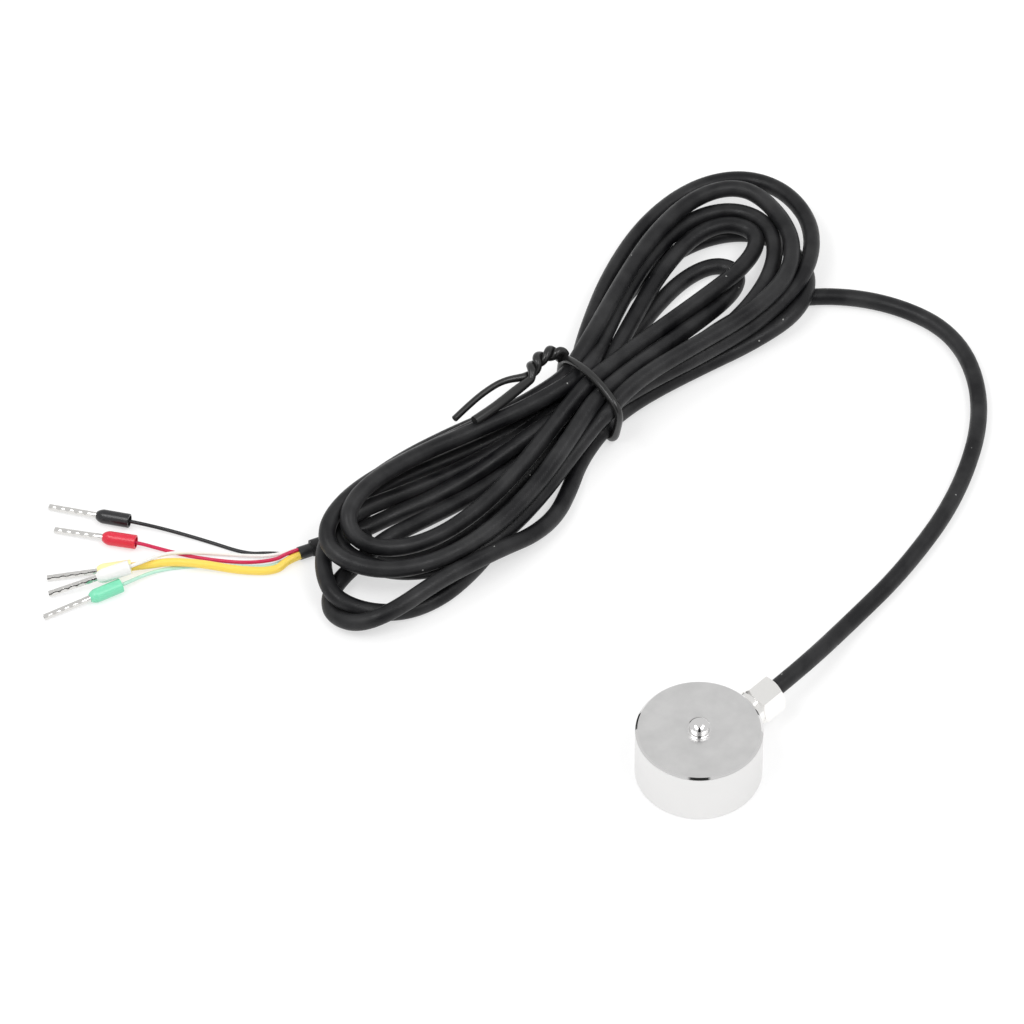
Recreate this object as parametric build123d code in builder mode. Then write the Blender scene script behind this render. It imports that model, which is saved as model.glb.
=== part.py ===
"""Button load cell: a stainless compression cell with its cable, tie, cores and ferrules.

Frame: the origin is the centre of the cell's underside, +Z is the loading axis, up, and
+X points out along the cable gland. Everything is in millimetres and stands on Z = 0.
"""
import os
from math import atan2, cos, degrees, hypot, radians, sin, sqrt, tan

from build123d import *

os.makedirs("parts", exist_ok=True)

# Cell body: one turned piece with its load button and membrane
body_diameter = 20.0
body_height = 10.0
rim_chamfer = 0.35
foot_chamfer = 0.25
button_diameter = 3.2
button_height = 2.0
button_dome_radius = 2.2
button_root_fillet = 0.2
membrane_thickness = 1.4
gauge_room_diameter = 11.2

# Bottom cover and terminal board, seated on steps of the bore
cover_diameter = 12.6
cover_thickness = 0.8
cover_clearance = 0.05
cover_edge_chamfer = 0.15
board_diameter = 11.9
board_thickness = 0.8
board_clearance = 0.05
board_underside_room = 1.6
board_feed_hole = 1.2
board_feed_reach = 3.2
resistor_length = 1.6
resistor_width = 0.8
resistor_height = 0.45
resistor_count = 3
resistor_circle = 7.0

# Strain gauges bonded under the membrane
gauge_length = 2.0
gauge_width = 1.7
gauge_thickness = 0.12
gauge_tab_length = 0.45
gauge_tab_width = 0.5
gauge_tab_thickness = 0.1
gauge_tab_spacing = 0.9
gauge_inner_radius = 1.5
gauge_outer_radius = 4.2
gauge_lead_diameter = 0.18

# Tapped holes in the underside
screw_circle = 16.0
screw_count = 3
screw_first_angle = 60.0
screw_tap_diameter = 2.05
screw_depth = 4.0
screw_drill_point = 118.0
screw_mouth_chamfer = 0.15

# Cable gland: nipple, rubber bush and hexagon nut
gland_height = 4.8
nipple_diameter = 4.4
nipple_depth = 3.0
nipple_reach = 3.6
nipple_chamfer = 0.35
thread_clearance = 0.05
cable_clearance = 0.1
bush_length = 1.6
bush_clearance = 0.02
nut_across_flats = 6.0
nut_collar_diameter = 5.9
nut_collar_length = 2.1
nut_hexagon_length = 4.3
nut_gap = 0.2
nut_roll = 15.0
nut_chamfer_width = 0.5
nut_chamfer_length = 0.35
nut_mouth_chamfer = 0.15
bush_seat_depth = 0.5

# Cable and its ends
cable_diameter = 2.75
cable_root_inside = 1.0
cable_root_recess = 0.6
end_sleeve_diameter = 2.15
end_sleeve_length = 2.2
tail_length = 0.8
inner_core_diameter = 0.6
inner_core_spacing = 0.9
inner_core_bend = 0.5
core_diameter = 0.6
shield_core_diameter = 1.35
core_strand_diameter = 0.4

# Hank of cable, as the closed outer shape of its turns
hank_height = 8.6
hank_top_fillet = 2.2
hank_outline = [
    ((36.0, 55.0), 12.0),
    ((46.0, 55.0), 16.0),
    ((66.0, 52.2), 16.0),
    ((80.5, 52.0), 6.0),
    ((94.0, 58.8), 9.0),
    ((98.6, 69.0), 8.0),
    ((96.5, 80.5), 8.0),
    ((79.0, 82.0), 16.0),
    ((60.0, 78.0), 16.0),
    ((46.0, 70.2), 10.0),
    ((36.0, 70.2), 16.0),
    ((8.0, 76.5), 20.0),
    ((-8.6, 77.2), 2.0),
    ((-10.9, 71.7), 3.0),
    ((-17.5, 68.0), 3.0),
    ((-19.2, 62.0), 5.0),
    ((-15.5, 55.2), 5.0),
    ((-6.0, 50.8), 12.0),
    ((12.0, 49.0), 16.0),
    ((24.0, 49.4), 12.0),
]

# Twist tie round the waist of the hank
tie_wire_diameter = 0.9
tie_centre = (41.0, 62.6)
tie_turn = 10.0
tie_span = 15.3
tie_floor_gap = 0.02
tie_corner_radius = 2.5
tie_groove_clearance = 0.02
tie_twist_diameter = 1.6
tie_twist_route = [
    (42.2, 69.4, 7.87),
    (41.9, 71.3, 8.9),
    (39.6, 72.4, 9.6),
    (37.0, 72.0, 9.7),
    (34.6, 71.4, 9.6),
]
tie_long_end = [
    (34.6, 71.4, 9.6),
    (31.4, 72.6, 9.5),
    (26.8, 72.4, 9.3),
    (20.6, 73.2, 9.1),
]
tie_short_end = [
    (34.6, 71.4, 9.6),
    (31.2, 70.6, 9.3),
    (26.8, 70.0, 9.15),
    (21.0, 70.1, 9.07),
]

# Ferrules on the five cores
ferrule_length = 13.5
sleeve_length = 5.5
sleeve_diameter = 2.3
sleeve_nose_diameter = 1.3
sleeve_nose_length = 1.4
sleeve_bore_diameter = 1.7
sleeve_bore_depth = 3.0
sleeve_rim_fillet = 0.12
pin_diameter = 1.0
pin_fit_clearance = 0.02
pin_flare_diameter = 1.6
pin_flare_length = 0.8
pin_bore_end = 5.2
crimp_count = 5
crimp_pitch = 1.45
crimp_depth = 0.13
crimp_first = 1.2
core_inside_sleeve = 5.0
shield_core_inside_sleeve = 2.9
core_fit_clearance = 0.02

# Cable lead from the gland to the hank, as hand-chosen points
lead_points = [
    (24.2, 0.0, 4.8),
    (36.8, 2.4, 1.7),
    (52.0, 3.9, 1.38),
    (69.5, 8.2, 1.38),
    (86.0, 17.6, 1.38),
    (94.6, 31.0, 1.38),
]
lead_last_run = 12.6
lead_end_along_facet = 5.9

# Where each core leaves the end sleeve, across and up from its axis, and how far it runs straight
core_exits = {
    "black": (0.71, -0.31, 1.5),
    "red": (0.255, 0.732, 1.8),
    "yellow": (-0.40, 0.0, 2.0),
    "white": (0.71, 0.31, 2.4),
    "green": (0.255, -0.732, 1.7),
}

# Cores from there to the rear of their ferrules, as hand-chosen points
core_points = {
    "black": [(-15.3, 79.2, 0.7), (-17.9, 82.0, 0.31), (-20.3, 88.3, 0.31), (-23.4, 94.7, 0.7)],
    "red": [(-16.1, 77.3, 1.1), (-20.0, 80.9, 0.72), (-24.1, 87.3, 0.31), (-26.7, 92.2, 0.55)],
    "yellow": [
        (-17.4, 75.8, 0.7),
        (-21.4, 80.1, 0.8),
        (-24.9, 84.9, 1.5),
        (-28.0, 88.9, 1.4),
        (-30.8, 91.0, 1.25),
    ],
    "white": [(-16.9, 79.8, 0.6), (-21.8, 85.8, 0.6), (-25.3, 89.1, 1.3), (-28.8, 90.7, 2.2)],
    "green": [(-17.6, 77.6, 0.31), (-22.0, 82.8, 0.31), (-26.9, 87.5, 0.32), (-31.0, 90.0, 0.6)],
}
ferrule_rears = {
    "black": (-26.6, 99.6, 1.43),
    "red": (-29.0, 95.7, 1.43),
    "yellow": (-33.1, 92.6, 1.43),
    "white": (-34.5, 91.5, 3.45),
    "green": (-36.9, 91.0, 1.43),
}
ferrule_tips = {
    "black": (-33.1, 111.8, 0.53),
    "red": (-35.9, 107.7, 0.53),
    "yellow": (-43.4, 100.9, 0.53),
    "white": (-45.8, 98.2, 0.95),
    "green": (-49.6, 95.6, 0.53),
}

# Heights and radii that follow from the sizes above
body_radius = body_diameter / 2
button_radius = button_diameter / 2
cable_radius = cable_diameter / 2
board_seat_height = cover_thickness + board_underside_room + board_thickness
membrane_underside = body_height - membrane_thickness
nut_start = body_radius + nut_gap
nut_hexagon_start = nut_start + nut_collar_length
nut_end = nut_hexagon_start + nut_hexagon_length
nipple_start = body_radius - nipple_depth
nipple_end = body_radius + nipple_reach
root_start = gauge_room_diameter / 2 - cable_root_inside
root_end = nut_end - cable_root_recess
gland_axis = Axis((0, 0, gland_height), (1, 0, 0))


def corner_radii(points):
    """Give the largest arc that the two runs beside each inner point allow."""
    radii = []
    for before, corner, after in zip(points, points[1:], points[2:]):
        run_in = Vector(*corner) - Vector(*before)
        run_out = Vector(*after) - Vector(*corner)
        half_turn = radians(run_in.get_angle(run_out)) / 2
        radii.append(0.45 * min(run_in.length, run_out.length) / tan(half_turn))
    return radii


def route_line(points):
    """Draw a free route as straight runs joined by tangent arcs."""
    FilletPolyline(*points, radius=corner_radii(points))


def plane_at_start(path):
    """Give the plane square to a path at its first point."""
    return Plane(origin=path @ 0, z_dir=path % 0)


def report_tube(name, points, diameter, solid):
    """Print a tube's tightest arc, its length and its volume against section times length."""
    with BuildLine() as measured:
        route_line(points)
    length = sum(edge.length for edge in measured.edges())
    section = 3.14159265 * diameter**2 / 4
    print(
        f"{name}: length {length:.1f}, tightest arc {min(corner_radii(points)):.1f},"
        f" volume ratio {solid.volume / (section * length):.4f}"
    )


def keep(builder, node):
    """Label a finished piece and write its STEP file."""
    builder.part.label = node
    export_step(builder.part, f"parts/{node}.step")


# Cell body
with BuildPart() as cell_body:
    dome_rise = button_dome_radius - sqrt(button_dome_radius**2 - button_radius**2)
    dome_foot = body_height + button_height - dome_rise
    dome_mid_angle = (radians(90) + atan2(button_dome_radius - dome_rise, button_radius)) / 2
    dome_centre = body_height + button_height - button_dome_radius
    with BuildSketch(Plane.XZ):
        with BuildLine():
            turned = Polyline(
                (0, 0),
                (body_radius - foot_chamfer, 0),
                (body_radius, foot_chamfer),
                (body_radius, body_height - rim_chamfer),
                (body_radius - rim_chamfer, body_height),
                (button_radius, body_height),
                (button_radius, dome_foot),
            )
            dome_middle = (
                button_dome_radius * cos(dome_mid_angle),
                dome_centre + button_dome_radius * sin(dome_mid_angle),
            )
            dome = ThreePointArc(turned @ 1, dome_middle, (0, body_height + button_height))
            Line(dome @ 1, (0, 0))
        make_face()
    revolve(axis=Axis.Z)
    button_root = cell_body.edges().filter_by(GeomType.CIRCLE)
    button_root = button_root.filter_by(lambda edge: abs(edge.radius - button_radius) < 0.01)
    fillet(button_root.sort_by(Axis.Z)[0], radius=button_root_fillet)
    # Stepped bore from the underside: cover seat, board seat and the room under the membrane
    for bore_diameter, bore_height in (
        (cover_diameter + 2 * cover_clearance, cover_thickness),
        (board_diameter + 2 * board_clearance, board_seat_height),
        (gauge_room_diameter, membrane_underside),
    ):
        with BuildSketch(Plane.XY):
            Circle(bore_diameter / 2)
        extrude(amount=bore_height, mode=Mode.SUBTRACT)
    # Port for the gland: a threaded part and a smaller way through for the cable
    for port_diameter, port_start in (
        (nipple_diameter + 2 * thread_clearance, nipple_start),
        (cable_diameter + 2 * cable_clearance, 0),
    ):
        with BuildSketch(Plane.YZ.offset(port_start)):
            with Locations((0, gland_height)):
                Circle(port_diameter / 2)
        extrude(amount=body_diameter, mode=Mode.SUBTRACT)
    # Tapped holes with the drill's point at the end and a small lead-in
    screw_point_length = screw_tap_diameter / 2 / tan(radians(screw_drill_point / 2))
    with Locations(Plane.XY.offset(screw_depth + screw_point_length / 2)):
        with PolarLocations(screw_circle / 2, screw_count, start_angle=screw_first_angle):
            Cone(screw_tap_diameter / 2, 0, screw_point_length, mode=Mode.SUBTRACT)
    with BuildSketch(Plane.XY):
        with PolarLocations(screw_circle / 2, screw_count, start_angle=screw_first_angle):
            Circle(screw_tap_diameter / 2)
    extrude(amount=screw_depth, mode=Mode.SUBTRACT)
    screw_mouths = cell_body.edges().filter_by(GeomType.CIRCLE).group_by(Axis.Z)[0]
    screw_mouths = screw_mouths.filter_by(lambda edge: edge.radius < screw_tap_diameter)
    chamfer(screw_mouths, length=screw_mouth_chamfer)
keep(cell_body, "cell_body")

# Bottom cover, flush with the underside
with BuildPart() as bottom_cover:
    with BuildSketch(Plane.XY):
        Circle(cover_diameter / 2)
    extrude(amount=cover_thickness)
    chamfer(bottom_cover.edges().group_by(Axis.Z)[0], length=cover_edge_chamfer)
keep(bottom_cover, "bottom_cover")

# Terminal board, pushed up against its step, with a feed hole on each side of the gauges
board_underside = board_seat_height - board_thickness
with BuildPart() as terminal_board:
    with BuildSketch(Plane.XY.offset(board_underside)):
        Circle(board_diameter / 2)
        with Locations((-board_feed_reach, 0)):
            Circle(board_feed_hole / 2, mode=Mode.SUBTRACT)
    extrude(amount=board_thickness)
keep(terminal_board, "terminal_board")

# Trim resistors soldered under the board
with BuildPart() as trim_resistors:
    with BuildSketch(Plane.XY.offset(board_underside - resistor_height)):
        with PolarLocations(resistor_circle / 2, resistor_count, start_angle=180 / resistor_count):
            Rectangle(resistor_width, resistor_length)
    extrude(amount=resistor_height)
keep(trim_resistors, "trim_resistors")

# Strain gauges: a carrier film with two solder tabs, in a row across the membrane
gauge_stations = (-gauge_outer_radius, -gauge_inner_radius, gauge_inner_radius, gauge_outer_radius)
for gauge_number, gauge_y in enumerate(gauge_stations, start=1):
    with BuildPart() as strain_gauge:
        with BuildSketch(Plane.XY.offset(membrane_underside - gauge_thickness)):
            with Locations((0, gauge_y)):
                Rectangle(gauge_width, gauge_length)
        extrude(amount=gauge_thickness)
        with BuildSketch(Plane.XY.offset(membrane_underside - gauge_thickness - gauge_tab_thickness)):
            with Locations((0, gauge_y)):
                with GridLocations(gauge_tab_spacing, 0, 2, 1):
                    Rectangle(gauge_tab_width, gauge_tab_length)
        extrude(amount=gauge_tab_thickness)
    keep(strain_gauge, f"strain_gauge_{gauge_number}")

# Enamelled leads from the gauges' tabs straight down to the board
gauge_tab_underside = membrane_underside - gauge_thickness - gauge_tab_thickness
with BuildPart() as gauge_leads:
    with BuildSketch(Plane.XY.offset(board_seat_height)):
        for gauge_y in gauge_stations:
            with Locations((0, gauge_y)):
                with GridLocations(gauge_tab_spacing, 0, 2, 1):
                    Circle(gauge_lead_diameter / 2)
    extrude(amount=gauge_tab_underside - board_seat_height)
keep(gauge_leads, "gauge_leads")

# Cable inside the gland, from the room in the cell to the mouth of the nut
with BuildPart() as cable_root:
    with BuildSketch(Plane.YZ.offset(root_start)):
        with Locations((0, gland_height)):
            Circle(cable_radius)
    extrude(amount=root_end - root_start)
keep(cable_root, "cable_root")

# Four inner cores from the cable's end, bent down to the board
with BuildPart() as inner_cores:
    half_spacing = inner_core_spacing / 2
    for core_side in (-half_spacing, half_spacing):
        for core_rise, core_reach in ((-half_spacing, 1.0), (half_spacing, 2.0)):
            core_height = gland_height + core_rise
            bend_x = root_start - core_reach
            with BuildLine() as inner_core_line:
                FilletPolyline(
                    (root_start, core_side, core_height),
                    (bend_x, core_side, core_height),
                    (bend_x, core_side, board_seat_height),
                    radius=inner_core_bend,
                )
            with BuildSketch(plane_at_start(inner_core_line.line)):
                Circle(inner_core_diameter / 2)
            sweep(path=inner_core_line.line)
keep(inner_cores, "inner_cores")

# Gland nipple, screwed into the wall against the step of the port
with BuildPart() as gland_nipple:
    with BuildSketch(Plane.YZ.offset(nipple_start)):
        with Locations((0, gland_height)):
            Circle(nipple_diameter / 2)
            Circle(cable_radius + cable_clearance, mode=Mode.SUBTRACT)
    extrude(amount=nipple_end - nipple_start)
    chamfer(gland_nipple.edges().group_by(Axis.X)[-1].sort_by(SortBy.RADIUS)[-1], length=nipple_chamfer)
keep(gland_nipple, "gland_nipple")

# Rubber bush, squeezed between the nipple's end and the nut's shoulder
bush_end = nipple_end + bush_length
with BuildPart() as gland_bush:
    with BuildSketch(Plane.YZ.offset(nipple_end)):
        with Locations((0, gland_height)):
            Circle(nipple_diameter / 2)
            Circle(cable_radius + bush_clearance, mode=Mode.SUBTRACT)
    extrude(amount=bush_length)
keep(gland_bush, "gland_bush")

# Gland nut: hexagon bar, turned down to a collar and chamfered, then bored
with BuildPart() as gland_nut:
    with BuildSketch(Plane.YZ.offset(nut_start)):
        with Locations((0, gland_height)):
            RegularPolygon(nut_across_flats / 2, 6, major_radius=False, rotation=30 - nut_roll)
    extrude(amount=nut_end - nut_start)
    nut_corner_radius = nut_across_flats / sqrt(3)
    with BuildSketch(Plane.XZ):
        with BuildLine():
            Polyline(
                (nut_start, gland_height),
                (nut_start, gland_height + nut_collar_diameter / 2),
                (nut_hexagon_start - nut_chamfer_length, gland_height + nut_collar_diameter / 2),
                (nut_hexagon_start, gland_height + nut_corner_radius),
                (nut_end - nut_chamfer_length, gland_height + nut_corner_radius),
                (nut_end, gland_height + nut_corner_radius - nut_chamfer_width),
                (nut_end, gland_height),
                close=True,
            )
        make_face()
    revolve(axis=gland_axis, mode=Mode.INTERSECT)
    with BuildSketch(Plane.XZ):
        with BuildLine():
            Polyline(
                (nut_start, gland_height),
                (nut_start, gland_height + nipple_diameter / 2 + thread_clearance),
                (bush_end, gland_height + nipple_diameter / 2 + thread_clearance),
                (bush_end + bush_seat_depth, gland_height + cable_radius + cable_clearance),
                (nut_end - nut_mouth_chamfer, gland_height + cable_radius + cable_clearance),
                (nut_end, gland_height + cable_radius + cable_clearance + nut_mouth_chamfer),
                (nut_end, gland_height),
                close=True,
            )
        make_face()
    revolve(axis=gland_axis, mode=Mode.SUBTRACT)
keep(gland_nut, "gland_nut")

# Facets of the hank where the lead comes in and the tail goes out
hank_corners = [corner for corner, _ in hank_outline]
hank_radii = [radius for _, radius in hank_outline]
lead_facet_start = Vector(*hank_corners[3])
lead_facet_way = (Vector(*hank_corners[4]) - lead_facet_start).normalized()
tail_facet_start = Vector(*hank_corners[12])
tail_facet_end = Vector(*hank_corners[13])
tail_facet_way = (tail_facet_end - tail_facet_start).normalized()
tail_way = tail_facet_way.rotate(Axis.Z, -90)
tail_foot = (tail_facet_start + tail_facet_end) * 0.5 + Vector(0, 0, cable_radius)
tail_end = tail_foot + tail_way * tail_length

# Cable lead, from the nut's mouth to the hank
lead_end = lead_facet_start + lead_facet_way * lead_end_along_facet + Vector(0, 0, cable_radius)
lead_last_point = lead_end + lead_facet_way.rotate(Axis.Z, -90) * lead_last_run
lead_route = [(root_end, 0, gland_height)] + lead_points + [tuple(lead_last_point), tuple(lead_end)]
with BuildPart() as cable_lead:
    with BuildLine() as lead_line:
        route_line(lead_route)
    with BuildSketch(plane_at_start(lead_line.line)):
        Circle(cable_radius)
    sweep(path=lead_line.line)
report_tube("cable_lead", lead_route, cable_diameter, cable_lead.part)
keep(cable_lead, "cable_lead")

# Tie ring's path: a rounded rectangle that stands across the waist of the hank
tie_wire_radius = tie_wire_diameter / 2
tie_low = tie_wire_radius + tie_floor_gap
tie_plane = Plane(
    origin=(tie_centre[0], tie_centre[1], (tie_low + hank_height) / 2),
    x_dir=(sin(radians(tie_turn)), cos(radians(tie_turn)), 0),
    z_dir=(cos(radians(tie_turn)), -sin(radians(tie_turn)), 0),
)
half_span = tie_span / 2
half_rise = (hank_height - tie_low) / 2
with BuildLine(tie_plane) as tie_ring_line:
    FilletPolyline(
        (half_span, -half_rise),
        (half_span, half_rise),
        (-half_span, half_rise),
        (-half_span, -half_rise),
        radius=tie_corner_radius,
        close=True,
    )
with BuildLine() as tie_twist_line:
    route_line(tie_twist_route)

# Hank: outer shape of the turns, with the groove that the tie presses into it
with BuildPart() as cable_hank:
    with BuildSketch(Plane.XY):
        with BuildLine():
            FilletPolyline(*hank_corners, radius=hank_radii, close=True)
        make_face()
    extrude(amount=hank_height)
    fillet(cable_hank.edges().group_by(Axis.Z)[-1], radius=hank_top_fillet)
    for groove_line, groove_radius in (
        (tie_ring_line.line, tie_wire_radius + tie_groove_clearance),
        (tie_twist_line.line, tie_twist_diameter / 2 + tie_groove_clearance),
    ):
        with BuildSketch(plane_at_start(groove_line)):
            Circle(groove_radius)
        sweep(path=groove_line, mode=Mode.SUBTRACT)
keep(cable_hank, "cable_hank")

# Tail of the jacket, and the black sleeve shrunk on the cores where the jacket is cut back
with BuildPart() as cable_tail:
    with BuildSketch(Plane(origin=tail_foot, z_dir=tail_way)):
        Circle(cable_radius)
    extrude(amount=tail_length)
keep(cable_tail, "cable_tail")

end_sleeve_radius = end_sleeve_diameter / 2
sleeve_foot = Vector(tail_end.X, tail_end.Y, end_sleeve_radius)
sleeve_face = sleeve_foot + tail_way * end_sleeve_length
sleeve_across = tail_way.rotate(Axis.Z, -90)
with BuildPart() as end_sleeve:
    with BuildSketch(Plane(origin=sleeve_foot, z_dir=tail_way)):
        Circle(end_sleeve_radius)
    extrude(amount=end_sleeve_length)
keep(end_sleeve, "end_sleeve")

# Twist tie: ring, twisted stub and two loose ends in one bent wire
with BuildPart() as twist_tie:
    with BuildLine() as tie_long_line:
        route_line(tie_long_end)
    with BuildLine() as tie_short_line:
        route_line(tie_short_end)
    for tie_line, tie_line_diameter in (
        (tie_ring_line.line, tie_wire_diameter),
        (tie_twist_line.line, tie_twist_diameter),
        (tie_long_line.line, tie_wire_diameter),
        (tie_short_line.line, tie_wire_diameter),
    ):
        with BuildSketch(plane_at_start(tie_line)):
            Circle(tie_line_diameter / 2)
        sweep(path=tie_line)
keep(twist_tie, "twist_tie")

# Ferrule pin, along +Z from the rear of its sleeve: flared mouth, tube and crimped blade
pin_radius = pin_diameter / 2
with BuildPart() as pin_form:
    with BuildSketch(Plane.XZ):
        with BuildLine():
            Polyline(
                (0, sleeve_bore_depth),
                (pin_flare_diameter / 2, sleeve_bore_depth),
                (pin_radius, sleeve_bore_depth + pin_flare_length),
                (pin_radius, ferrule_length),
                (0, ferrule_length),
                close=True,
            )
        make_face()
    revolve(axis=Axis.Z)
    # Crimp pockets on two pairs of sides, set half a pitch apart like the links of a chain
    for crimp_plane, crimp_shift in ((Plane.XZ, 0), (Plane.YZ, crimp_pitch / 2)):
        with BuildSketch(crimp_plane):
            for crimp_number in range(crimp_count):
                crimp_z = sleeve_length + crimp_first + crimp_shift + crimp_number * crimp_pitch
                with Locations((pin_radius, crimp_z), (-pin_radius, crimp_z)):
                    Ellipse(crimp_depth, crimp_pitch * 0.4)
        extrude(amount=pin_diameter, both=True, mode=Mode.SUBTRACT)
    # Mouth for the insulated core, and the narrow way for its strands
    with BuildSketch(Plane.XY.offset(sleeve_bore_depth)):
        Circle(core_diameter / 2 + core_fit_clearance)
    extrude(amount=pin_bore_end - sleeve_bore_depth, mode=Mode.SUBTRACT)
    with BuildSketch(Plane.XY.offset(sleeve_bore_depth)):
        Circle(core_strand_diameter / 2 + core_fit_clearance)
    extrude(amount=ferrule_length - sleeve_bore_depth, mode=Mode.SUBTRACT)

# Ferrule sleeve, along the same axis: a moulded barrel with a rounded nose
sleeve_radius = sleeve_diameter / 2
sleeve_nose_start = sleeve_length - sleeve_nose_length
with BuildPart() as sleeve_form:
    with BuildSketch(Plane.XZ):
        with BuildLine():
            sleeve_side = Polyline(
                (sleeve_bore_diameter / 2, 0),
                (sleeve_radius, 0),
                (sleeve_radius, sleeve_nose_start),
            )
            nose_middle = (
                (sleeve_radius * 2 + sleeve_nose_diameter / 2) / 3 + 0.02,
                sleeve_nose_start + sleeve_nose_length * 0.6,
            )
            nose = ThreePointArc(sleeve_side @ 1, nose_middle, (sleeve_nose_diameter / 2, sleeve_length))
            Polyline(
                nose @ 1,
                (pin_radius + pin_fit_clearance, sleeve_length),
                (pin_radius + pin_fit_clearance, sleeve_bore_depth + pin_flare_length),
                (pin_flare_diameter / 2 + pin_fit_clearance, sleeve_bore_depth),
                (sleeve_bore_diameter / 2, sleeve_bore_depth),
                sleeve_side @ 0,
            )
        make_face()
    revolve(axis=Axis.Z)
    rear_rim = sleeve_form.edges().group_by(Axis.Z)[0].sort_by(SortBy.RADIUS)[-1]
    fillet(rear_rim, radius=sleeve_rim_fillet)

# Each core with its ferrule: the insulated route, its bare strands, the sleeve and the pin
for colour, points in core_points.items():
    rear = Vector(*ferrule_rears[colour])
    ferrule_way = (Vector(*ferrule_tips[colour]) - rear).normalized()
    outside_diameter, inside_sleeve = core_diameter, core_inside_sleeve
    if colour == "yellow":
        outside_diameter, inside_sleeve = shield_core_diameter, shield_core_inside_sleeve
    insulated_end = rear + ferrule_way * inside_sleeve
    exit_across, exit_up, exit_run = core_exits[colour]
    core_start = sleeve_face + sleeve_across * exit_across + Vector(0, 0, exit_up)
    exit_end = core_start + tail_way * exit_run
    core_route = [tuple(core_start), tuple(exit_end)] + points + [tuple(rear), tuple(insulated_end)]
    with BuildPart() as core:
        with BuildLine() as core_line:
            route_line(core_route)
        with BuildSketch(plane_at_start(core_line.line)):
            Circle(outside_diameter / 2)
        sweep(path=core_line.line)
        report_tube(f"core_{colour}", core_route, outside_diameter, core.part)
        with BuildSketch(Plane(origin=insulated_end, z_dir=ferrule_way)):
            Circle(core_strand_diameter / 2)
        extrude(amount=ferrule_length - inside_sleeve)
    keep(core, f"core_{colour}")
    with BuildPart() as ferrule_sleeve:
        with Locations(Plane(origin=rear, z_dir=ferrule_way)):
            add(sleeve_form.part)
    keep(ferrule_sleeve, f"ferrule_sleeve_{colour}")
    with BuildPart() as ferrule_pin:
        with Locations(Plane(origin=rear, z_dir=ferrule_way)):
            add(pin_form.part)
    keep(ferrule_pin, f"ferrule_pin_{colour}")
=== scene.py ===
"""Looks of a button load cell: steel cell, cable gland, tied hank of cable and five ferrules."""

import logging
import math
from dataclasses import dataclass, field
from enum import Enum

import bpy
import numpy as np
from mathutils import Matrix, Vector

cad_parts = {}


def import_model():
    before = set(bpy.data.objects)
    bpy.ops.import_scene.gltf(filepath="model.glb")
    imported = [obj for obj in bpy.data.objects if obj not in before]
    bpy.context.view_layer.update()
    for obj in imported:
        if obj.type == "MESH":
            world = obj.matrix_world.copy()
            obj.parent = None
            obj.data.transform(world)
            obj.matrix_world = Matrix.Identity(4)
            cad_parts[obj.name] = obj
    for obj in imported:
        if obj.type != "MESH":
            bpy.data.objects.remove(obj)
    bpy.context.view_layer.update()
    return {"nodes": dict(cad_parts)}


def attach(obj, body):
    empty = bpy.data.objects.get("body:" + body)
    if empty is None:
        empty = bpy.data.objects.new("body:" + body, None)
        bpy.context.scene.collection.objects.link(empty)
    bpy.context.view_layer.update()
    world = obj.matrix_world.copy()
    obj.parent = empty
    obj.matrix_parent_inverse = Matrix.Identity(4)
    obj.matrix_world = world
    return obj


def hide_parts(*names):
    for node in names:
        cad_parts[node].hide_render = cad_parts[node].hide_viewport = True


MM = 0.001
LOG = logging.getLogger("load_cell")

Point = tuple[float, float, float]
Colour = tuple[float, float, float]
Span = tuple[float, float]
Value = bpy.types.NodeSocket | float
Paint = bpy.types.NodeSocket | Colour
Solids = dict[str, bpy.types.Object]

# How finely a tube is rounded, a span is drawn and a span is measured
TUBE_ROUNDING = 7
SPAN_STEPS = 10
FINE_SAMPLES = 24

# Range in which most of a noise lies
NOISE_SPAN: Span = (0.3, 0.7)


class Wire(Enum):
    """The five insulated cores, by colour."""

    BLACK = "black"
    RED = "red"
    YELLOW = "yellow"
    WHITE = "white"
    GREEN = "green"


class Side(Enum):
    """End of the hank that a turn folds round: away from or towards the loose cores."""

    RIGHT = 1
    LEFT = -1


# Curves and arrays


def spline_samples(count: int, per_span: int) -> np.ndarray:
    """Weights of the control points at samples of a clamped quadratic spline.

    In span k, with u from 0 to 1, the weights of points k, k + 1 and k + 2 are
    (1 - u)^2 / 2, (1 + 2u - 2u^2) / 2 and u^2 / 2. In the first span they are (1 - u)^2,
    2u - 3u^2 / 2 and u^2 / 2, so that the line starts at its first point, and the last
    span mirrors the first.

    Args:
        count: Number of control points.
        per_span: Samples in each of the count - 2 spans.

    Returns:
        A matrix with a row for each sample and a column for each control point.
    """
    u = np.tile((np.arange(per_span) + 0.5) / per_span, count - 2)
    span = np.repeat(np.arange(count - 2), per_span)
    back = 1 - u
    near = np.where(span == 0, back**2, back**2 / 2)
    far = np.where(span == count - 3, u**2, u**2 / 2)
    rows = np.arange(len(u))
    weights = np.zeros((len(u), count))
    weights[rows, span] = near
    weights[rows, span + 1] = 1 - near - far
    weights[rows, span + 2] = far
    return weights


def distances_along(points: np.ndarray) -> np.ndarray:
    """Distance of each point from the first one, along the line through them all.

    Args:
        points: Points in order, one in each row.

    Returns:
        The distances, in the points' unit.
    """
    steps = np.linalg.norm(np.diff(points, axis=0), axis=1)
    return np.concatenate([[0], np.cumsum(steps)])


def polyline_length(points: np.ndarray) -> float:
    """Length of the line through an array of points.

    Args:
        points: Points in order, one in each row.

    Returns:
        The length, in the points' unit.
    """
    return float(distances_along(points)[-1])


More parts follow.
